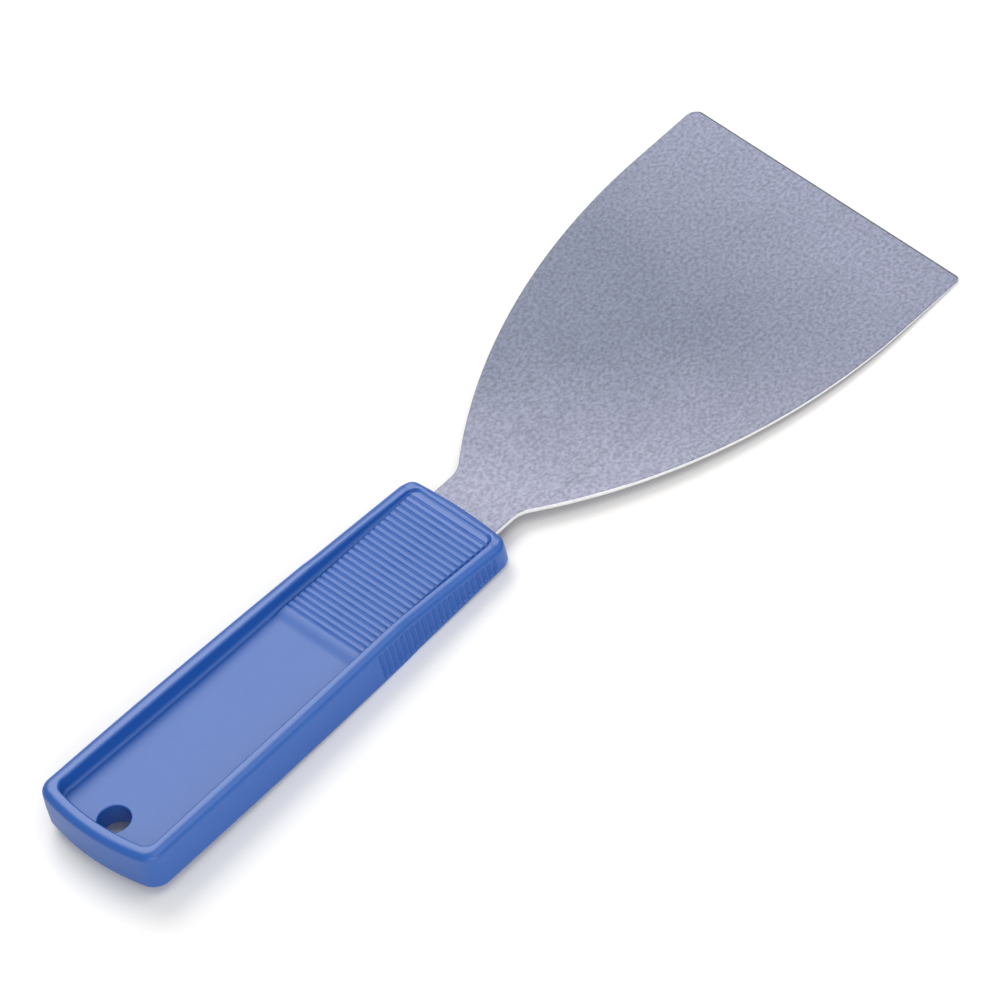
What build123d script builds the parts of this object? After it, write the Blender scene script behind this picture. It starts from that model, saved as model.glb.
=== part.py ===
from build123d import *
import os

# A putty and taping knife: one moulded plastic handle round the tang of one steel blade.
# The knife lies flat along +X, with the butt at -X and the working edge at +X.
# The origin is under the middle of its box, on the plane that the handle's rim rests on.

# Whole knife
knife_length = 207.0
blade_width = 76.2  # three inches
butt_x = -knife_length / 2
edge_x = knife_length / 2

# Handle: outside
handle_length = 104.4
handle_thickness = 9.0
butt_half_width = 16.5
waist_half_width = 14.5
waist_from_butt = 77.0
butt_bow_radius = 60.0
front_bow_radius = 130.0
butt_corner_radius = 4.0
front_corner_radius = 3.2
wall_draft = 1.5  # degrees, from the parting line at mid height
side_bulge = 0.4
rim_round = 1.3
under_round = 0.4  # the same edge on the underside

# Handle: the rim drops towards the blade
ramp_start_from_butt = 74.0
front_half_height = 2.5

# Handle: the palm recesses, which share one outline. The one on the underside is shallower.
rim_at_butt = 3.3
rim_at_front = 1.5
recess_butt_half_width = 13.4
recess_waist_half_width = 11.7
recess_corner_radius = 2.6
web_top = 1.2  # above the mid plane
web_bottom = 3.9  # below the mid plane
step_foot_from_butt = 64.2
step_run = 1.6
recess_draft = 3.0  # degrees

# Handle: thumb pad with its ridges
pad_half_thickness = 1.95
ridge_count = 23
ridge_pitch = 1.4955
first_ridge_from_butt = 67.0
ridge_radius = 0.6
ridge_height = 0.35
ridge_overlap = 1.0  # how far each ridge runs into the rim

# Handle: grooves in the side walls for the finger and thumb
groove_radius = 0.5
groove_depth = 0.3
groove_end_margin = 1.5

# Hanging hole
hang_hole_radius = 3.45
hang_hole_from_butt = 7.3

# Blade
blade_thickness = 1.1
edge_thickness = 0.45
grind_start_from_butt = 122.0
neck_half_width = 8.85
shoulder_radius = 120.0
shoulder_end_from_edge = 17.0
neck_fillet_radius = 6.0
tip_corner_radius = 2.0
tang_start_from_butt = 68.0
lock_hole_radius = 3.0
lock_holes_from_butt = (76.0, 94.0)

half_height = handle_thickness / 2
front_x = butt_x + handle_length
waist_x = butt_x + waist_from_butt
ramp_x = butt_x + ramp_start_from_butt
half_blade = blade_width / 2
mid_plane = Plane.XY.offset(half_height)
side_plane = Plane.XZ
hair = 0.01  # how close a point counts as being on a line


def wall_y(x):
    """Half width of the handle at x, along the chord of its long side."""
    if x >= waist_x:
        return waist_half_width
    along = (x - butt_x) / waist_from_butt
    return butt_half_width + (waist_half_width - butt_half_width) * along


def ramp(x, level, front_level):
    """A height from the mid plane that is level up to the ramp and then changes in a line to the front."""
    along = max(0, x - ramp_x) / (front_x - ramp_x)
    return level + (front_level - level) * along


def bow_sagitta(half_width, radius):
    """How far an arc of this radius stands out over a chord of twice half_width."""
    return radius - (radius**2 - half_width**2) ** 0.5


# ---------------------------------------------------------------- blade
shoulder_x = edge_x - shoulder_end_from_edge
shoulder_centre_y = half_blade - shoulder_radius
neck_meets_x = shoulder_x - (shoulder_radius**2 - (neck_half_width - shoulder_centre_y) ** 2) ** 0.5
shoulder_mid_x = (shoulder_x + neck_meets_x) / 2
shoulder_mid_y = shoulder_centre_y + (shoulder_radius**2 - (shoulder_x - shoulder_mid_x) ** 2) ** 0.5
tang_x = butt_x + tang_start_from_butt
grind_x = butt_x + grind_start_from_butt

with BuildPart() as blade:
    with BuildSketch(mid_plane):
        with BuildLine():
            Line((tang_x, 0), (tang_x, neck_half_width))
            Line((tang_x, neck_half_width), (neck_meets_x, neck_half_width))
            ThreePointArc(
                (neck_meets_x, neck_half_width),
                (shoulder_mid_x, shoulder_mid_y),
                (shoulder_x, half_blade),
            )
            Line((shoulder_x, half_blade), (edge_x, half_blade))
            Line((edge_x, half_blade), (edge_x, 0))
            mirror(about=Plane.XZ)
        make_face()
        necks = vertices().filter_by_position(Axis.X, neck_meets_x - hair, neck_meets_x + hair)
        fillet(necks, neck_fillet_radius)
        fillet(vertices().group_by(Axis.X)[-1], tip_corner_radius)
        with Locations([(butt_x + x, 0) for x in lock_holes_from_butt]):
            Circle(lock_hole_radius, mode=Mode.SUBTRACT)
    extrude(amount=blade_thickness / 2, both=True)
    # Both faces are ground to a taper, down to the working edge.
    with BuildSketch(side_plane):
        with BuildLine():
            Polyline(
                (tang_x, half_height + blade_thickness / 2),
                (grind_x, half_height + blade_thickness / 2),
                (edge_x, half_height + edge_thickness / 2),
                (edge_x, half_height - edge_thickness / 2),
                (grind_x, half_height - blade_thickness / 2),
                (tang_x, half_height - blade_thickness / 2),
                close=True,
            )
        make_face()
    extrude(amount=blade_width, both=True, mode=Mode.INTERSECT)

blade.part.label = "blade"

# ---------------------------------------------------------------- palm recesses, cutting tools
recess_butt_x = butt_x + rim_at_butt
recess_front_x = front_x - rim_at_front
recess_butt_side_x = recess_butt_x + bow_sagitta(recess_butt_half_width, butt_bow_radius)
floor_z = half_height + web_top
pad_z = half_height + pad_half_thickness
step_x = butt_x + step_foot_from_butt


def palm_recess(floor_points):
    """The space of a recess that opens upwards, over a floor that runs through these points of the XZ plane."""
    lowest = min(z for _, z in floor_points)
    with BuildPart() as tool:
        with BuildSketch(Plane.XY.offset(handle_thickness)):
            with BuildLine():
                ThreePointArc(
                    (recess_butt_side_x, -recess_butt_half_width),
                    (recess_butt_x, 0),
                    (recess_butt_side_x, recess_butt_half_width),
                )
                Polyline(
                    (recess_butt_side_x, recess_butt_half_width),
                    (waist_x, recess_waist_half_width),
                    (recess_front_x, recess_waist_half_width),
                    (recess_front_x, -recess_waist_half_width),
                    (waist_x, -recess_waist_half_width),
                    (recess_butt_side_x, -recess_butt_half_width),
                )
            make_face()
            fillet(vertices().group_by(Axis.X)[0], recess_corner_radius)
            fillet(vertices().group_by(Axis.X)[-1], recess_corner_radius)
        extrude(amount=-(handle_thickness - lowest), taper=recess_draft)
        with BuildSketch(side_plane):
            with BuildLine():
                Polyline(
                    (butt_x, handle_thickness), *floor_points, (front_x, handle_thickness), close=True
                )
            make_face()
        extrude(amount=butt_half_width, both=True, mode=Mode.INTERSECT)
    return tool.part


top_recess = palm_recess([
    (butt_x, floor_z), (step_x, floor_z), (step_x + step_run, pad_z), (front_x, pad_z)
])
# This one is drawn the right way up too, and turned over when it is cut.
under_recess = palm_recess([
    (butt_x, half_height + web_bottom), (ramp_x, half_height + web_bottom), (front_x, pad_z)
])

# ---------------------------------------------------------------- handle
butt_side_x = butt_x + bow_sagitta(butt_half_width, butt_bow_radius)
front_side_x = front_x - bow_sagitta(waist_half_width, front_bow_radius)
bulge_x = (butt_side_x + waist_x) / 2
bulge_y = (butt_half_width + waist_half_width) / 2 + side_bulge
ridge_xs = [butt_x + first_ridge_from_butt + i * ridge_pitch for i in range(ridge_count)]
ridge_sink = ridge_radius - ridge_height

with BuildPart() as handle:
    # The upper half first, from the parting line at mid height. The lower half mirrors it.
    with BuildSketch(mid_plane):
        with BuildLine():
            ThreePointArc((butt_side_x, butt_half_width), (butt_x, 0), (butt_side_x, -butt_half_width))
            ThreePointArc(
                (butt_side_x, -butt_half_width), (bulge_x, -bulge_y), (waist_x, -waist_half_width)
            )
            Line((waist_x, -waist_half_width), (front_side_x, -waist_half_width))
            ThreePointArc(
                (front_side_x, -waist_half_width), (front_x, 0), (front_side_x, waist_half_width)
            )
            Line((front_side_x, waist_half_width), (waist_x, waist_half_width))
            ThreePointArc(
                (waist_x, waist_half_width), (bulge_x, bulge_y), (butt_side_x, butt_half_width)
            )
        make_face()
        fillet(vertices().group_by(Axis.X)[0], butt_corner_radius)
        fillet(vertices().group_by(Axis.X)[-1], front_corner_radius)
    extrude(amount=half_height, taper=wall_draft)
    with BuildSketch(side_plane):
        with BuildLine():
            Polyline(
                (butt_x, half_height),
                (front_x, half_height),
                (front_x, half_height + front_half_height),
                (ramp_x, handle_thickness),
                (butt_x, handle_thickness),
                close=True,
            )
        make_face()
    extrude(amount=butt_half_width, both=True, mode=Mode.INTERSECT)
    mirror(about=mid_plane)
    for up, radius in ((1, rim_round), (-1, under_round)):
        rim_faces = faces().filter_by(lambda f: up * f.normal_at().Z > 0.9)
        rim_joint = edges().filter_by(Axis.Y).filter_by_position(Axis.X, ramp_x - hair, ramp_x + hair)
        fillet([e for e in rim_faces.edges() if e not in rim_joint], radius)

    # The palm recesses, and the ridges across the thumb pad and under it.
    add(top_recess, mode=Mode.SUBTRACT)
    add(mirror(under_recess, about=mid_plane, mode=Mode.PRIVATE), mode=Mode.SUBTRACT)
    with BuildSketch(side_plane):
        with Locations([(x, pad_z - ridge_sink) for x in ridge_xs]):
            Circle(ridge_radius)
        with Locations([
            (x, half_height - ramp(x, web_bottom, pad_half_thickness) + ridge_sink) for x in ridge_xs
        ]):
            Circle(ridge_radius)
    extrude(amount=recess_waist_half_width + ridge_overlap, both=True)

    # Finger grooves down both side walls, one between each two ridges.
    for x in [(a + b) / 2 for a, b in zip(ridge_xs, ridge_xs[1:])]:
        groove_length = 2 * (ramp(x, half_height, front_half_height) - groove_end_margin)
        for side in (-1, 1):
            with Locations((x, side * (wall_y(x) + groove_radius - groove_depth), half_height)):
                Cylinder(groove_radius, groove_length, mode=Mode.SUBTRACT)

    # Hanging hole down through the web, and the room that the moulded-in tang takes.
    with Locations((butt_x + hang_hole_from_butt, 0, half_height)):
        Cylinder(hang_hole_radius, handle_thickness, mode=Mode.SUBTRACT)
    add(blade.part, mode=Mode.SUBTRACT)

handle.part.label = "handle"

os.makedirs("parts", exist_ok=True)
export_step(blade.part, "parts/blade.step")
export_step(handle.part, "parts/handle.step")
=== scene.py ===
import math

import bpy
import numpy as np
from mathutils import Matrix, Vector


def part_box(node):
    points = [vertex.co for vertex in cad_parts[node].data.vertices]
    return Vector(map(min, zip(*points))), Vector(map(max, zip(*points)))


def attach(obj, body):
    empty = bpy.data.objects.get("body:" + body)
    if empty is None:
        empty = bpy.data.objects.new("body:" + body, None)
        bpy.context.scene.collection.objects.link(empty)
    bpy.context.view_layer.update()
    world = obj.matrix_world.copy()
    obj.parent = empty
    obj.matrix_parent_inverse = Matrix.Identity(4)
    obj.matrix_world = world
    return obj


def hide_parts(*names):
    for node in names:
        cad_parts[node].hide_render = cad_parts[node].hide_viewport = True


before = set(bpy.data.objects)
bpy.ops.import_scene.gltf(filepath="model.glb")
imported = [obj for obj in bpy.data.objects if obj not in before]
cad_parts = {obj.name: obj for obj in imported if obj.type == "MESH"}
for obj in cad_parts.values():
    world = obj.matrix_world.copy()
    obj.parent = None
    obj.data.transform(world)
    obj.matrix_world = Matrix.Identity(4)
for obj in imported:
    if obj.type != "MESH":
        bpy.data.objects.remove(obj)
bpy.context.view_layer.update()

# ================================================================ blade
# One blank of cold-rolled spring steel: a flared blade, a short neck, and a tang inside the handle.
# It is stamped, ground thinner towards the working edge on both faces, and tumbled in grit, which
# leaves a matt grey face and rounds the cut edges a little. The handle is moulded round its tang.

mm = 0.001
butt_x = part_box("handle")[0].x
mid_z = (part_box("handle")[0].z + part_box("handle")[1].z) / 2
tang_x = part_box("blade")[0].x
edge_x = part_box("blade")[1].x
half_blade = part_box("blade")[1].y

blade_half_thickness = 0.55 * mm
edge_half_thickness = 0.225 * mm
grind_x = butt_x + 122 * mm
neck_half_width = 8.85 * mm
neck_fillet = 6 * mm
shoulder_radius = 120 * mm
shoulder_x = edge_x - 17 * mm
near_tip_radius = 1.4 * mm
far_tip_radius = 2.5 * mm
tumbled_radius = 0.16 * mm

# Sections are close together along the neck and its fillets, from neck_x to flare_x.
neck_x = butt_x + 104 * mm
flare_x = butt_x + 116 * mm
edge_points = 5
face_points = 71


def smooth(value, start, end):
    """0 before start and 1 after end, with an S-shaped ramp (3t^2 - 2t^3) between them."""
    share = np.clip((value - start) / (end - start), 0, 1)
    return share * share * (3 - 2 * share)


def blade_half_width(x, tip_radius):
    """Half width of the blank at x: a straight neck, a concave fillet, the shoulder arc, a straight
    side, and a quarter circle at the tip. The fillet's centre is neck_fillet above the neck's line
    and both radii added up from the shoulder arc's centre, so it touches both."""
    arc_y = half_blade - shoulder_radius
    fillet_y = neck_half_width + neck_fillet
    fillet_x = shoulder_x - math.sqrt((shoulder_radius + neck_fillet) ** 2 - (fillet_y - arc_y) ** 2)
    share = shoulder_radius / (shoulder_radius + neck_fillet)
    touch_x = shoulder_x + (fillet_x - shoulder_x) * share
    before_tip = np.maximum(x - (edge_x - tip_radius), 0)
    return np.select(
        [x < fillet_x, x < touch_x, x < shoulder_x],
        [
            np.full_like(x, neck_half_width),
            fillet_y - np.sqrt(np.maximum(neck_fillet**2 - (x - fillet_x) ** 2, 0)),
            arc_y + np.sqrt(np.maximum(shoulder_radius**2 - (shoulder_x - x) ** 2, 0)),
        ],
        half_blade - tip_radius + np.sqrt(np.maximum(tip_radius**2 - before_tip**2, 0)),
    )


def blade_sections():
    """Closed sections across the blade, one for each x: (sections, points, 3).
    Across the top face a share s from -1 to 1 of the half width gives y, and the last bit at each
    side is a quarter circle of the tumbled radius. The lower half is the upper half upside down.
    Half thickness is constant, then falls in a line to the edge, where the last sections close in
    on a half ellipse."""
    nose_length = 2 * tumbled_radius
    nose = np.linspace(0, 1, 7)[1:]
    tip = far_tip_radius * np.sin(np.linspace(0, math.pi / 2, 15))
    x = np.concatenate([
        np.linspace(tang_x, neck_x, 12)[:-1],
        np.linspace(neck_x, flare_x, 30)[:-1],
        np.linspace(flare_x, edge_x - far_tip_radius, 90)[:-1],
        edge_x - far_tip_radius + tip[:-1] * (1 - nose_length / far_tip_radius),
        edge_x - nose_length + nose_length * np.sin(nose * math.pi / 2),
    ])
    taper = np.clip((x - grind_x) / (edge_x - grind_x), 0, 1)
    half = blade_half_thickness + (edge_half_thickness - blade_half_thickness) * taper
    half[-len(nose):] *= np.sqrt(1 - (0.9 * nose) ** 2)

    turn = np.linspace(0, math.pi / 2, edge_points)
    out = np.concatenate([1 - np.cos(turn), np.ones(face_points), 1 - np.cos(turn[::-1])])
    drop = np.concatenate([1 - np.sin(turn), np.zeros(face_points), 1 - np.sin(turn[::-1])])
    share = np.concatenate([
        np.full(edge_points, -1.0), np.linspace(-1, 1, face_points + 2)[1:-1], np.full(edge_points, 1.0),
    ])
    radius = np.minimum(tumbled_radius, 0.6 * half)[:, None]
    near = blade_half_width(x, near_tip_radius)[:, None]
    far = blade_half_width(x, far_tip_radius)[:, None]
    wide = np.where(share < 0, near, far)
    y = share * (wide - radius) + np.sign(share) * radius * np.where(np.abs(share) == 1, 1 - out, 0)
    z = half[:, None] - radius * drop
    upper = np.stack([np.broadcast_to(x[:, None], y.shape), y, z], 2)
    lower = upper[:, ::-1] * np.array([1, 1, -1])
    return np.concatenate([upper, lower], 1) + np.array([0, 0, mid_z])


def tube_faces(sections, points):
    """Quads between neighbouring closed sections, each joined back to its first point, and strips
    that close the first and the last section, whose points k and points - 1 - k face each other."""
    ids = np.arange(sections * points).reshape(sections, points)
    turned = np.roll(ids, -1, 1)
    walls = np.stack([ids[:-1], ids[1:], turned[1:], turned[:-1]], 2).reshape(-1, 4)
    half = points // 2
    strip = np.stack([np.arange(half - 1), points - 1 - np.arange(half - 1)], 1)
    first = np.stack([strip[:, 0], strip[:, 0] + 1, strip[:, 1] - 1, strip[:, 1]], 1)
    last = first[:, ::-1] + ids[-1, 0]
    return np.concatenate([walls, first, last])


def new_piece(name, points, faces):
    """A mesh object at the origin from arrays of points and quads, shaded smooth."""
    mesh = bpy.data.meshes.new(name)
    mesh.from_pydata(points.tolist(), [], faces.tolist())
    mesh.polygons.foreach_set("use_smooth", np.ones(len(faces), bool))
    piece = bpy.data.objects.new(name, mesh)
    bpy.context.scene.collection.objects.link(piece)
    return piece


def piece_normals(piece):
    """The unit normals of a piece's faces, one row each."""
    normals = np.zeros(len(piece.data.polygons) * 3)
    piece.data.polygons.foreach_get("normal", normals)
    return normals.reshape(-1, 3)


def piece_centres(piece):
    """The centres of a piece's faces, one row each."""
    centres = np.zeros(len(piece.data.polygons) * 3)
    piece.data.polygons.foreach_get("center", centres)
    return centres.reshape(-1, 3)


def linear(code):
    """An sRGB hex colour as linear red, green, blue and alpha."""
    parts = [int(code[i:i + 2], 16) / 255 for i in (1, 3, 5)]
    return [c / 12.92 if c <= 0.04045 else ((c + 0.055) / 1.055) ** 2.4 for c in parts] + [1.0]


def add_node(tree, kind, settings, links):
    """Adds a node. Settings are its properties or its input sockets, and links are its inputs."""
    node = tree.nodes.new(kind)
    for key, value in settings.items():
        if isinstance(key, str) and hasattr(node, key):
            setattr(node, key, value)
        else:
            node.inputs[key].default_value = value
    for key, source in links.items():
        tree.links.new(source, node.inputs[key])
    return node


def new_material(name):
    """An empty node material with its output, and the object's own coordinates in metres."""
    material = bpy.data.materials.new(name)
    material.use_nodes = True
    tree = material.node_tree
    tree.nodes.clear()
    place = add_node(tree, "ShaderNodeTexCoord", {}, {}).outputs["Object"]
    return material, tree, place


# Tumbled spring steel: grit leaves a crinkled grain about 0.8 mm across and a dull lustre. The colour
# is paler at the neck, reaching furthest on its -Y side, darker across the middle of the blade, and
# paler again over the last centimetres before the working edge. Broad clouds make those borders
# uneven, and a few faint scratches cross the blade on a slant.
grain_depth = 0.335
steel, tree, place = new_material("tumbled_spring_steel")
grain = add_node(
    tree, "ShaderNodeTexNoise", {"Scale": 1 / (0.8 * mm), "Detail": 1.5, "Roughness": 0.55},
    {"Vector": place},
)
clouds = add_node(tree, "ShaderNodeTexNoise", {"Scale": 1 / (14 * mm), "Detail": 3.0}, {"Vector": place})
drift = add_node(
    tree, "ShaderNodeMath", {"operation": "MULTIPLY_ADD", 1: 24 * mm, 2: -12 * mm}, {0: clouds.outputs[0]}
)
neck_way = add_node(
    tree, "ShaderNodeVectorMath", {"operation": "DOT_PRODUCT", 1: (1.0, 0.9, 0.0)}, {0: place}
)
from_neck = add_node(
    tree, "ShaderNodeMath", {"operation": "ADD"}, {0: neck_way.outputs["Value"], 1: drift.outputs[0]}
)
neck_share = add_node(
    tree, "ShaderNodeMapRange",
    {"From Min": butt_x + 111 * mm, "From Max": butt_x + 160 * mm, "To Min": 1.0, "To Max": 0.0},
    {"Value": from_neck.outputs[0]},
)
edge_way = add_node(
    tree, "ShaderNodeVectorMath", {"operation": "DOT_PRODUCT", 1: (1.0, -0.12, 0.0)}, {0: place}
)
to_edge = add_node(
    tree, "ShaderNodeMath", {"operation": "ADD"}, {0: edge_way.outputs["Value"], 1: drift.outputs[0]}
)
edge_share = add_node(
    tree, "ShaderNodeMapRange", {"From Min": edge_x - 42 * mm, "From Max": edge_x - 6 * mm},
    {"Value": to_edge.outputs[0]},
)
middle_and_edge_tone = add_node(
    tree, "ShaderNodeMix", {"data_type": "RGBA", 6: linear("#7D8292"), 7: linear("#9093A5")},
    {0: edge_share.outputs[0]},
)
tone = add_node(
    tree, "ShaderNodeMix", {"data_type": "RGBA", 7: linear("#9B9CAD")},
    {0: neck_share.outputs[0], 6: middle_and_edge_tone.outputs[2]},
)
speckle = add_node(
    tree, "ShaderNodeMapRange", {"From Min": 0.3, "From Max": 0.7, "To Min": 0.2, "To Max": 1.8},
    {"Value": grain.outputs[0]},
)
mottle = add_node(
    tree, "ShaderNodeMix", {"data_type": "RGBA", "blend_type": "MULTIPLY", 0: grain_depth},
    {6: tone.outputs[2], 7: speckle.outputs[0]},
)
slanting = add_node(
    tree, "ShaderNodeMapping", {"Rotation": (0, 0, math.radians(25)), "Scale": (0.03, 1.0, 1.0)},
    {"Vector": place},
)
fibres = add_node(
    tree, "ShaderNodeTexNoise", {"Scale": 1 / (1.6 * mm), "Detail": 1.0}, {"Vector": slanting.outputs[0]}
)
scratches = add_node(
    tree, "ShaderNodeMapRange", {"From Min": 0.68, "From Max": 0.76, "To Min": 1.0, "To Max": 0.87},
    {"Value": fibres.outputs[0]},
)
scratched = add_node(
    tree, "ShaderNodeMix", {"data_type": "RGBA", "blend_type": "MULTIPLY", 0: 1.0},
    {6: mottle.outputs[2], 7: scratches.outputs[0]},
)
dull = add_node(
    tree, "ShaderNodeMapRange", {"To Min": 0.56, "To Max": 0.7}, {"Value": grain.outputs[0]}
)
bumps = add_node(
    tree, "ShaderNodeBump", {"Strength": grain_depth, "Distance": 0.06 * mm}, {"Height": grain.outputs[0]}
)
surface = add_node(
    tree, "ShaderNodeBsdfPrincipled", {"Metallic": 1.0},
    {"Base Color": scratched.outputs[2], "Roughness": dull.outputs[0], "Normal": bumps.outputs[0]},
)
add_node(tree, "ShaderNodeOutputMaterial", {}, {"Surface": surface.outputs[0]})

# Sheared steel edge: the die leaves bare, brighter metal with fine upright drag marks.
sheared, tree, place = new_material("sheared_steel_edge")
upright_marks = add_node(tree, "ShaderNodeMapping", {"Scale": (1.0, 1.0, 0.1)}, {"Vector": place})
drag = add_node(
    tree, "ShaderNodeTexNoise", {"Scale": 1 / (1.1 * mm), "Detail": 3.0},
    {"Vector": upright_marks.outputs[0]},
)
bright = add_node(
    tree, "ShaderNodeMix", {"data_type": "RGBA", 6: linear("#E2E3E7"), 7: linear("#FFFFFF")},
    {0: drag.outputs[0]},
)
surface = add_node(
    tree, "ShaderNodeBsdfPrincipled", {"Metallic": 1.0, "Roughness": 0.5}, {"Base Color": bright.outputs[2]}
)
add_node(tree, "ShaderNodeOutputMaterial", {}, {"Surface": surface.outputs[0]})

# Ground steel edge: the narrow nose that the wheel leaves, finer and darker than the faces.
honed, tree, place = new_material("ground_steel_edge")
across = add_node(tree, "ShaderNodeMapping", {"Scale": (0.15, 1.0, 1.0)}, {"Vector": place})
wheel = add_node(
    tree, "ShaderNodeTexNoise", {"Scale": 1 / (0.5 * mm), "Detail": 2.0}, {"Vector": across.outputs[0]}
)
dark = add_node(
    tree, "ShaderNodeMix", {"data_type": "RGBA", 6: linear("#4A4E59"), 7: linear("#6B707C")},
    {0: wheel.outputs[0]},
)
surface = add_node(
    tree, "ShaderNodeBsdfPrincipled", {"Metallic": 1.0, "Roughness": 0.45}, {"Base Color": dark.outputs[2]}
)
add_node(tree, "ShaderNodeOutputMaterial", {}, {"Surface": surface.outputs[0]})

points = blade_sections()
blade = new_piece("blade_tumbled", points.reshape(-1, 3), tube_faces(*points.shape[:2]))
blade.data.materials.append(steel)
blade.data.materials.append(sheared)
blade.data.materials.append(honed)
steep = np.abs(piece_normals(blade)[:, 2]) < 0.5
at_nose = piece_centres(blade)[:, 0] > edge_x - 2 * tumbled_radius
finish = np.select([at_nose, steep], [2, 1], 0)
blade.data.polygons.foreach_set("material_index", finish.astype(np.int32))
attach(blade, "root")
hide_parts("blade")

# ================================================================ handle
# One injection moulding in blue polypropylene, moulded in one shot round the tang: a rim all round,
# a shallow palm recess on each face, a raised thumb pad with cross ridges, grooves in the side
# walls for the finger and thumb, and a hanging hole through the web at the butt.

front_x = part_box("handle")[1].x
butt_half_width = 16.5 * mm
waist_half_width = 14.5 * mm
waist_x = butt_x + 77 * mm
side_bulge = 0.4 * mm
butt_bow = 60 * mm
front_bow = 130 * mm
butt_corner = 4 * mm
front_corner = 3.2 * mm
wall_draft = math.tan(math.radians(1.5))
full_half_height = 4.5 * mm
front_half_height = 2.5 * mm
ramp_x = butt_x + 74 * mm

# The outer edge is rounded wide and low on top, less at the front, and hardly at all underneath.
rim_round_wide = 2.0 * mm
rim_round_high = 1.25 * mm
front_round_wide = 0.8 * mm
front_round_high = 0.6 * mm
under_round = 0.4 * mm

# The recess outline, the rounding over its edge, its drafted wall, and the fillet at its foot.
butt_rim = 3.3 * mm
front_rim = 1.5 * mm
recess_butt_half_width = 13.4 * mm
recess_waist_half_width = 11.7 * mm
recess_front_bow = 2000 * mm
recess_corner = 2.6 * mm
recess_draft = math.tan(math.radians(3))
inner_round = 0.5 * mm
front_inner_wide = 0.45 * mm
foot_round = 0.8 * mm
butt_foot_round = 0.12 * mm
front_foot_wide = 0.8 * mm

# The floor: a web that rises slightly from rise_x, a step up to the pad, and ridges across it.
web_top = 1.2 * mm
web_bottom = 3.9 * mm
rise_x = butt_x + 25 * mm
web_rise = 0.55 * mm
step_x = butt_x + 61.7 * mm
step_run = 3.6 * mm
pad_half_thickness = 1.95 * mm
ridge_count = 23
ridge_pitch = 1.4955 * mm
first_ridge_x = butt_x + 66.85 * mm
last_ridge_x = first_ridge_x + (ridge_count - 1) * ridge_pitch
ridge_height = 0.4 * mm
ridge_shoulder = 0.45 * mm
ridge_end = 0.45 * mm
land_below_rim = 0.04 * mm
groove_depth = 0.55 * mm
groove_top = 0.78
hole_x = butt_x + 7.3 * mm
hole_radius = 3.45 * mm
hole_round = 0.3 * mm

# Points round each outline: to half a corner, to an end, and along a side between the corners.
corner_points = 10
end_points = 36
side_start_x = butt_x + 8.1 * mm
past_hole_x = butt_x + 16 * mm
side_end_x = butt_x + 100.2 * mm
points_to_a_pitch = 10

# A point counts as being on an end by how far its outward direction turns to X, from 0.3 to 0.95.
end_from = 0.3
end_full = 0.95


def ramp(x, level, front_level):
    """A height from the mid plane: level as far as the ramp, then in a straight line to the front."""
    share = np.clip((x - ramp_x) / (front_x - ramp_x), 0, 1)
    return level + (front_level - level) * share


def floor_height(x, under, ridged=0):
    """Distance of the recess floor from the mid plane. On top it is the web, which rises slightly
    towards an S-shaped step up to the thumb pad, and an S-shaped ramp up to the front rim.
    Underneath it is level and then slopes with the rim. The ridges have flat tops, level with the
    land before and behind them, and elliptical shoulders that meet in narrow valleys.
    ridged is the share of their height that is kept."""
    web = web_top + web_rise * np.clip((x - rise_x) / (step_x - rise_x), 0, 1) ** 2
    land = smooth(x, step_x, step_x + step_run)
    pad = web + (pad_half_thickness - web) * land
    if under:
        pad = ramp(x, web_bottom, pad_half_thickness)
    rim = ramp(x, full_half_height, front_half_height)
    lift = smooth(x, last_ridge_x + ridge_pitch, front_x - front_rim)
    pad = pad + (rim - land_below_rim - pad) * lift
    pitches = (x - first_ridge_x) / ridge_pitch
    from_valley = np.abs(pitches - np.floor(pitches) - 0.5) * ridge_pitch
    shoulder = 1 - np.clip(from_valley / ridge_shoulder, 0, 1)
    wave = np.sqrt(1 - shoulder**2)
    wave = np.where(x < first_ridge_x - ridge_pitch, land, wave)
    wave = np.where(x > last_ridge_x + ridge_pitch, 1 - lift, wave)
    return pad + ridge_height * ridged * wave


def side_stations():
    """x of the points along a long side: close together round the hanging hole, wide apart along
    the palm, closer from half a millimetre before the step, and ten to a pitch across the ridges."""
    ridged = np.arange(first_ridge_x - ridge_pitch, side_end_x, ridge_pitch / points_to_a_pitch)
    before_step_x = step_x - 0.5 * mm
    return np.concatenate([
        np.linspace(side_start_x, past_hole_x, 14)[:-1],
        np.linspace(past_hole_x, before_step_x, 28)[:-1],
        np.linspace(before_step_x, ridged[0], 12)[:-1],
        ridged,
    ])


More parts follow.
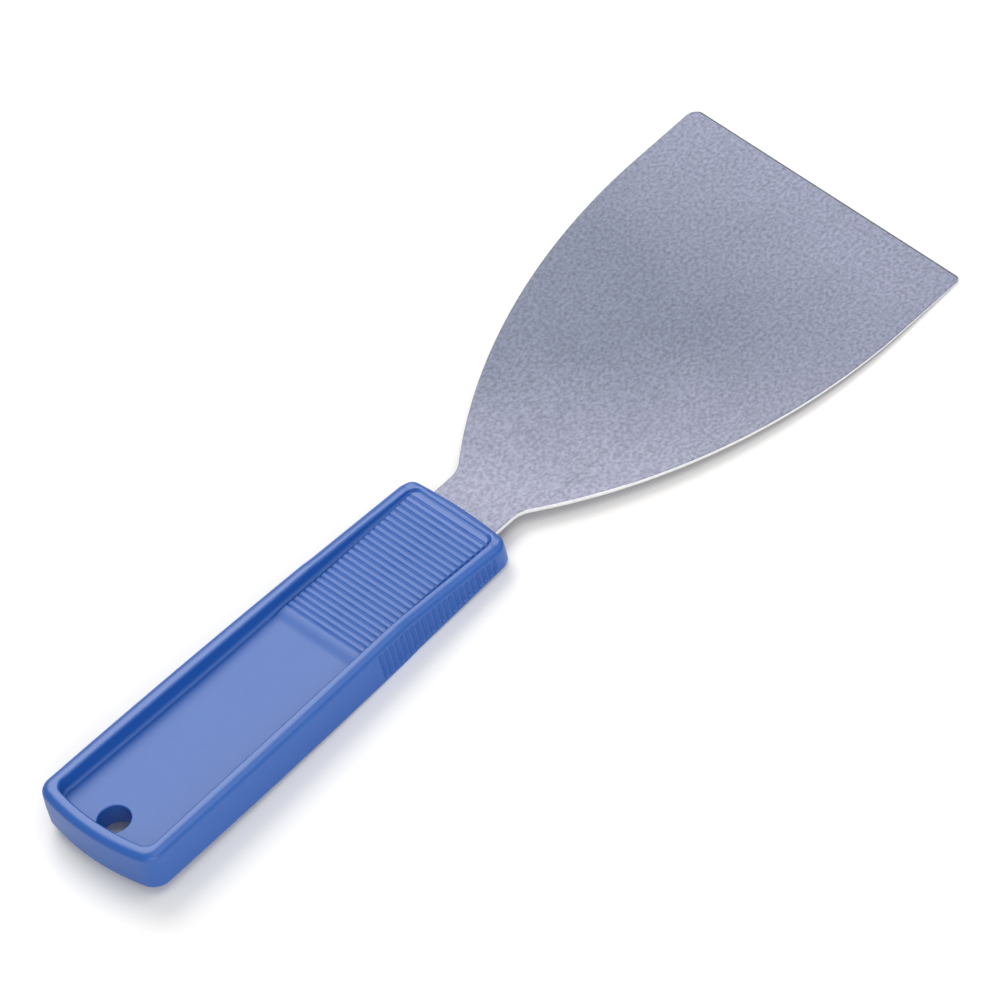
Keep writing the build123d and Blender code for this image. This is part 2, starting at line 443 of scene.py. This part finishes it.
def outline(start_x, end_x, start_half, end_half, start_bow, end_bow, start_corner, end_corner, bulge):
    """A closed outline seen from above, counter-clockwise from the middle of the near butt corner,
    and its outward normals. Corners are arcs, the two ends are bowed arcs, and each long side runs
    straight from the butt to the waist with a parabolic bulge, and level from there on."""
    butt_y = start_half - start_corner
    front_y = end_half - end_corner
    butt_centre = start_x + start_bow - math.sqrt((start_bow - start_corner) ** 2 - butt_y**2)
    front_centre = end_x - end_bow + math.sqrt((end_bow - end_corner) ** 2 - front_y**2)
    butt_turn = math.asin(butt_y / (start_bow - start_corner))
    front_turn = math.asin(front_y / (end_bow - end_corner))
    quarter = math.pi / 4

    stations = side_stations()
    share = np.clip((stations - start_x) / (waist_x - start_x), 0, 1)
    long_y = start_half + (end_half - start_half) * share + 4 * bulge * share * (1 - share)
    ends = np.linspace(-1, 1, end_points + 1)

    def corner(x, y, radius, start, end):
        angle = np.linspace(start, end, corner_points + 1)
        normal = np.stack([np.cos(angle), np.sin(angle)], 1)
        return np.array([x, y]) + radius * normal, normal

    def bow(x, radius, turns):
        normal = np.stack([np.cos(turns), np.sin(turns)], 1)
        return np.array([x, 0]) + radius * normal, normal

    def side(sign):
        return np.stack([stations, sign * long_y], 1), np.tile([0.0, sign], (len(stations), 1))

    near_start = corner(butt_centre, -butt_y, start_corner, -3 * quarter, -2 * quarter)
    near_end = corner(front_centre, -front_y, end_corner, -2 * quarter, -quarter)
    right_start = corner(front_centre, -front_y, end_corner, -quarter, -front_turn)
    right = bow(end_x - end_bow, end_bow, ends * front_turn)
    right_end = corner(front_centre, front_y, end_corner, front_turn, quarter)
    far_start = corner(front_centre, front_y, end_corner, quarter, 2 * quarter)
    far_end = corner(butt_centre, butt_y, start_corner, 2 * quarter, 3 * quarter)
    left_start = corner(butt_centre, butt_y, start_corner, 3 * quarter, math.pi - butt_turn)
    left = bow(start_x + start_bow, start_bow, math.pi + ends * butt_turn)
    left_end = corner(butt_centre, -butt_y, start_corner, math.pi + butt_turn, 5 * quarter)
    near, far = side(-1), side(1)
    parts = [
        [p[1:] for p in near_start], near, near_end,
        [p[1:] for p in right_start], [p[1:-1] for p in right], right_end,
        [p[1:] for p in far_start], [p[::-1] for p in far], far_end,
        [p[1:] for p in left_start], [p[1:-1] for p in left], left_end,
    ]
    return np.concatenate([p[0] for p in parts]), np.concatenate([p[1] for p in parts])


def rim_rings(under):
    """The wall's profile carried round the handle, from the mid plane up the outer wall, over the
    rim, down the recess wall and through its foot fillet: (rings, points round, 3).
    Each ring is the outer or the recess outline moved along its normals, and z is worked out from
    the rim's and the floor's height at that x. The grooves in the long sides are a raised cosine
    cut into the outer wall, which fades out between groove_top of its height and the rounding."""
    outer, outward = outline(
        butt_x, front_x, butt_half_width, waist_half_width, butt_bow, front_bow, butt_corner, front_corner,
        side_bulge,
    )
    inner, inner_out = outline(
        butt_x + butt_rim, front_x - front_rim, recess_butt_half_width, recess_waist_half_width,
        butt_bow, recess_front_bow, recess_corner, recess_corner, 0,
    )
    high = ramp(outer[:, 0], full_half_height, front_half_height)
    front = smooth(outward[:, 0], end_from, end_full)
    round_wide = rim_round_wide + (front_round_wide - rim_round_wide) * front
    round_high = rim_round_high + (front_round_high - rim_round_high) * front
    if under:
        round_wide = round_high = np.full_like(front, under_round)
    on_side = np.abs(outward[:, 1]) == 1
    wave = 0.5 - 0.5 * np.cos(2 * math.pi * (outer[:, 0] - first_ridge_x) / ridge_pitch)
    grooved = (outer[:, 0] > first_ridge_x) & (outer[:, 0] < last_ridge_x)
    groove = groove_depth * np.where(on_side & grooved, wave, 0)

    rings = []

    def ring(outline_points, normals, inset, z):
        plan = outline_points - normals * np.broadcast_to(inset, len(normals))[:, None]
        rings.append(np.column_stack([plan, np.broadcast_to(z, len(plan))]))

    for up in (0, 0.25, 0.5, 0.68, groove_top, 0.84, 0.88, 0.92, 0.96, 1):
        z = up * (high - round_high)
        ring(outer, outward, z * wall_draft + groove * (1 - smooth(up, groove_top, 1)), z)
    for turn in np.linspace(0, math.pi / 2, 10)[1:]:
        inset = (high - round_high) * wall_draft + round_wide * (1 - math.cos(turn))
        ring(outer, outward, inset, high - round_high + round_high * math.sin(turn))

    inner_high = ramp(inner[:, 0], full_half_height, front_half_height)
    floor = floor_height(inner[:, 0], under)
    tall = inner_high - floor
    round_in = np.minimum(inner_round, 0.35 * tall)
    inner_butt = smooth(-inner_out[:, 0], end_from, end_full)
    inner_front = smooth(inner_out[:, 0], end_from, end_full)
    foot = np.minimum(foot_round + (butt_foot_round - foot_round) * inner_butt, 0.5 * tall)
    round_in_wide = round_in + (front_inner_wide - round_in) * inner_front
    foot_wide = foot + (front_foot_wide - foot) * inner_front
    crest = rings[-1].copy()
    edge = np.column_stack([inner + inner_out * round_in_wide[:, None], inner_high])
    for share in (0.33, 0.67, 1):
        rings.append(crest + (edge - crest) * share)
    for turn in np.linspace(0, math.pi / 2, 5)[1:]:
        inset = -round_in_wide * (1 - math.sin(turn))
        ring(inner, inner_out, inset, inner_high - round_in * (1 - math.cos(turn)))
    for down in (0.33, 0.67, 1):
        fall = down * (tall - round_in - foot)
        ring(inner, inner_out, fall * recess_draft, inner_high - round_in - fall)
    run = (tall - round_in - foot) * recess_draft
    for turn in np.linspace(0, math.pi / 2, 7)[1:]:
        inset = run + foot_wide * (1 - math.cos(turn))
        plan = inner - inner_out * inset[:, None]
        lift = foot * (1 - math.sin(turn))
        rings.append(np.column_stack([plan, floor_height(plan[:, 0], under) + lift]))
    return np.stack(rings)


def floor_grid(loop, columns, rows, under):
    """The recess floor as a grid that fills a closed loop: each column joins the two long sides in
    a straight line, and the bow of each end is added with a weight that dies away within 25 mm of
    the butt and 3 mm of the front. The ridges fade out over ridge_end beside each long side."""
    near = loop[:columns + 1]
    right = loop[columns:columns + rows + 1]
    far = loop[columns + rows:2 * columns + rows + 1][::-1]
    left = np.concatenate([loop[2 * columns + rows:], loop[:1]])[::-1]
    across = (left[:, 1] - left[0, 1]) / (left[-1, 1] - left[0, 1])
    grid = near[:, None] * (1 - across[:, None]) + far[:, None] * across[:, None]
    left_bow = left - (left[0] * (1 - across[:, None]) + left[-1] * across[:, None])
    right_bow = right - (right[0] * (1 - across[:, None]) + right[-1] * across[:, None])
    at_left = np.clip(1 - (near[:, 0] - near[0, 0]) / (25 * mm), 0, 1) ** 2
    at_right = np.clip(1 - (near[-1, 0] - near[:, 0]) / (3 * mm), 0, 1) ** 2
    grid = grid + at_left[:, None, None] * left_bow + at_right[:, None, None] * right_bow
    from_side = np.minimum(grid[..., 1] - near[:, None, 1], far[:, None, 1] - grid[..., 1])
    grid[..., 2] = floor_height(grid[..., 0], under, smooth(from_side, 0, ridge_end))
    return grid


def hole_rings(block_loop, rays):
    """Rings from the edge of a block of the floor grid to the hanging hole: straight lines to the
    circle's rim, a quarter circle over its edge, and down the bore to the mid plane. The rays are
    the directions in plan from the hole's axis to each point."""
    floor = block_loop[0, 2]
    brim = np.column_stack([rays * (hole_radius + hole_round), block_loop[:, 2]]) + [hole_x, 0, 0]
    rings = [block_loop + (brim - block_loop) * share for share in (0.25, 0.5, 0.75, 0.92, 1)]
    steps = [
        (hole_radius + hole_round * (1 - math.sin(turn)), floor - hole_round * (1 - math.cos(turn)))
        for turn in np.linspace(0, math.pi / 2, 6)[1:]
    ]
    steps += [(hole_radius, share * (floor - hole_round)) for share in (0.67, 0.33, 0)]
    for reach, z in steps:
        rings.append(np.column_stack([rays * reach, np.full(len(rays), z)]) + [hole_x, 0, 0])
    return np.stack(rings)


def ring_faces(ids):
    """Quads between neighbouring closed rings of point numbers, first edge along the ring."""
    turned = np.roll(ids, -1, 1)
    return np.stack([ids[:-1], turned[:-1], turned[1:], ids[1:]], 2).reshape(-1, 4)


def handle_mesh():
    """Points and quads of the whole moulding. Each half is the rim rings, the floor grid and the
    hole's rings, which share their border points, and both halves are numbered alike. The lower
    half is turned over, and shares the upper half's points that lie on the mid plane."""
    columns = len(side_stations()) + 2 * corner_points + 1
    rows = 2 * corner_points + end_points
    rims = [rim_rings(False), rim_rings(True)]
    grids = [floor_grid(rim[-1], columns, rows, under) for rim, under in zip(rims, (False, True))]

    rim_ids = np.arange(rims[0].shape[0] * rims[0].shape[1]).reshape(rims[0].shape[:2])
    border = rim_ids[-1]
    grid_ids = np.full((columns + 1, rows + 1), -1)
    grid_ids[:, 0] = border[:columns + 1]
    grid_ids[-1, :] = border[columns:columns + rows + 1]
    grid_ids[:, -1] = border[columns + rows:2 * columns + rows + 1][::-1]
    grid_ids[0, :] = np.append(border[2 * columns + rows:], border[0])[::-1]

    # The block of the grid round the hanging hole, and its border. It runs from the butt end to
    # eight columns past the corner, and leaves nine rows between itself and each corner.
    block_end = corner_points + 8
    low = corner_points + 9
    high = rows - low
    inside = np.zeros(grid_ids.shape, bool)
    inside[1:-1, 1:-1] = True
    inside[:block_end, low + 1:high] = False
    grid_ids[inside] = rim_ids.size + np.arange(inside.sum())
    walk = np.concatenate([
        np.stack([np.arange(0, block_end), np.full(block_end, low)], 1),
        np.stack([np.full(high - low, block_end), np.arange(low, high)], 1),
        np.stack([np.arange(block_end, 0, -1), np.full(block_end, high)], 1),
        np.stack([np.zeros(high - low, int), np.arange(high, low, -1)], 1),
    ]).T
    rays = grids[0][walk[0], walk[1], :2] - [hole_x, 0]
    rays = rays / np.linalg.norm(rays, axis=1)[:, None]
    bores = [hole_rings(grid[walk[0], walk[1]], rays) for grid in grids]
    first_bore_id = rim_ids.size + inside.sum()
    bore_ids = first_bore_id + np.arange(bores[0].shape[0] * len(rays)).reshape(-1, len(rays))
    bore_ids = np.concatenate([grid_ids[walk[0], walk[1]][None], bore_ids])

    cells = np.stack([grid_ids[:-1, :-1], grid_ids[1:, :-1], grid_ids[1:, 1:], grid_ids[:-1, 1:]], 2)
    kept = np.ones(cells.shape[:2], bool)
    kept[:block_end, low:high] = False
    faces = np.concatenate([ring_faces(rim_ids), cells[kept], ring_faces(bore_ids)])
    upper, lower = [
        np.concatenate([rim.reshape(-1, 3), grid[inside], bore.reshape(-1, 3)])
        for rim, grid, bore in zip(rims, grids, bores)
    ]
    shared = np.zeros(len(upper), bool)
    shared[rim_ids[0]] = True
    shared[bore_ids[-1]] = True
    lower_ids = np.where(shared, np.arange(len(upper)), len(upper) - 1 + np.cumsum(~shared))
    points = np.concatenate([upper, lower[~shared] * [1, 1, -1]]) + [0, 0, mid_z]
    return points, np.concatenate([faces, lower_ids[faces[:, ::-1]]])


# Injection-moulded polypropylene, blue right through: a satin skin from a lightly spark-eroded
# mould, with faint flow clouds, and worn glossier on the rim, within 0.7 mm of its top. The real
# skin is too fine to show, so it is drawn at 0.6 mm.
plastic, tree, place = new_material("moulded_blue_polypropylene")
flow = add_node(tree, "ShaderNodeTexNoise", {"Scale": 1 / (9 * mm), "Detail": 3.0}, {"Vector": place})
skin = add_node(tree, "ShaderNodeTexNoise", {"Scale": 1 / (0.6 * mm), "Detail": 2.0}, {"Vector": place})
tint = add_node(
    tree, "ShaderNodeMix", {"data_type": "RGBA", 6: linear("#1C56A8"), 7: linear("#215BAD")},
    {0: flow.outputs[0]},
)
handled = add_node(tree, "ShaderNodeAttribute", {"attribute_name": "handled"}, {})
satin = add_node(tree, "ShaderNodeMapRange", {"To Min": 0.36, "To Max": 0.46}, {"Value": skin.outputs[0]})
worn = add_node(tree, "ShaderNodeMapRange", {"To Min": 0.28, "To Max": 0.36}, {"Value": skin.outputs[0]})
gloss = add_node(
    tree, "ShaderNodeMix", {}, {0: handled.outputs["Fac"], 2: satin.outputs[0], 3: worn.outputs[0]}
)
bumps = add_node(
    tree, "ShaderNodeBump", {"Strength": 0.15, "Distance": 0.03 * mm}, {"Height": skin.outputs[0]}
)
surface = add_node(
    tree, "ShaderNodeBsdfPrincipled", {"IOR": 1.49, "Specular IOR Level": 0.65},
    {"Base Color": tint.outputs[2], "Roughness": gloss.outputs[0], "Normal": bumps.outputs[0]},
)
add_node(tree, "ShaderNodeOutputMaterial", {}, {"Surface": surface.outputs[0]})

handle_points, handle_faces = handle_mesh()
handle = new_piece("handle_moulding", handle_points, handle_faces)
rim_height = ramp(handle_points[:, 0], full_half_height, front_half_height)
below_rim = rim_height - np.abs(handle_points[:, 2] - mid_z)
on_rim = 1 - smooth(below_rim, 0.25 * mm, 0.7 * mm)
wear = handle.data.attributes.new("handled", "FLOAT", "POINT")
wear.data.foreach_set("value", on_rim.astype(np.float32))
handle.data.materials.append(plastic)
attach(handle, "root")
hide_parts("handle")

# ================================================================ bench, light and camera
# The knife lies on a white bench on the handle's rim and the working edge, so the bench slopes up a
# little from the end of the level rim to the edge in the knife's own frame. A softbox beside the
# blade, a softer light overhead and a broad low fill behind the butt light it.

bench_slope = math.atan2(mid_z - edge_half_thickness, edge_x - ramp_x)
bench_half = 3.0
bench_along = Vector((math.cos(bench_slope), 0, math.sin(bench_slope))) * bench_half
bench_middle = Vector((ramp_x, 0, 0))
corners = [
    bench_middle + bench_along * a + Vector((0, bench_half * b, 0))
    for a, b in ((-1, -1), (1, -1), (1, 1), (-1, 1))
]
bench = new_piece("bench", np.array(corners), np.array([[0, 1, 2, 3]]))
paint, tree, place = new_material("white_bench_paint")
surface = add_node(
    tree, "ShaderNodeBsdfPrincipled", {"Base Color": linear("#FFFEFC"), "Roughness": 0.7}, {}
)
add_node(tree, "ShaderNodeOutputMaterial", {}, {"Surface": surface.outputs[0]})
bench.data.materials.append(paint)

world = bpy.data.worlds.new("studio")
world.use_nodes = True
world.node_tree.nodes["Background"].inputs["Color"].default_value = (1, 1, 1, 1)
world.node_tree.nodes["Background"].inputs["Strength"].default_value = 0.46
bpy.context.scene.world = world
bpy.context.scene.view_settings.view_transform = "Standard"


def soft_light(name, azimuth, elevation, distance, size, power):
    """A square area light, azimuth degrees from +X towards +Y and up, aimed at the knife."""
    a, e = math.radians(azimuth), math.radians(elevation)
    away = Vector((math.cos(a) * math.cos(e), math.sin(a) * math.cos(e), math.sin(e)))
    data = bpy.data.lights.new(name, "AREA")
    data.size = size
    data.energy = power
    light = bpy.data.objects.new(name, data)
    turned = away.to_track_quat("Z", "Y").to_matrix().to_4x4()
    light.matrix_world = Matrix.Translation(away * distance) @ turned
    bpy.context.scene.collection.objects.link(light)


soft_light("softbox", 68, 50, 0.77, 0.5, 3.2)
soft_light("overhead", -58, 70, 1.2, 0.8, 2.8)
soft_light("fill", -120, 28, 1.5, 1.2, 9.5)

view_azimuth = math.radians(-31.658)
view_elevation = math.radians(47.720)
view_roll = math.radians(-16.963)
view_distance = 6.0
target = Vector((7.96 * mm, -3.19 * mm, mid_z))
forward = Vector((
    -math.sin(view_azimuth) * math.cos(view_elevation),
    math.cos(view_azimuth) * math.cos(view_elevation),
    -math.sin(view_elevation),
))
level = Vector((math.cos(view_azimuth), math.sin(view_azimuth), 0))
upright = level.cross(forward)
right = level * math.cos(view_roll) + upright * math.sin(view_roll)
up = upright * math.cos(view_roll) - level * math.sin(view_roll)
camera = bpy.data.objects.new("camera", bpy.data.cameras.new("camera"))
camera.data.lens = 1098.6
camera.data.sensor_width = 36
camera.data.clip_end = 50
camera.matrix_world = Matrix.Translation(target - forward * view_distance) @ Matrix(
    (right, up, -forward)
).transposed().to_4x4()
bpy.context.scene.collection.objects.link(camera)
bpy.context.scene.camera = camera
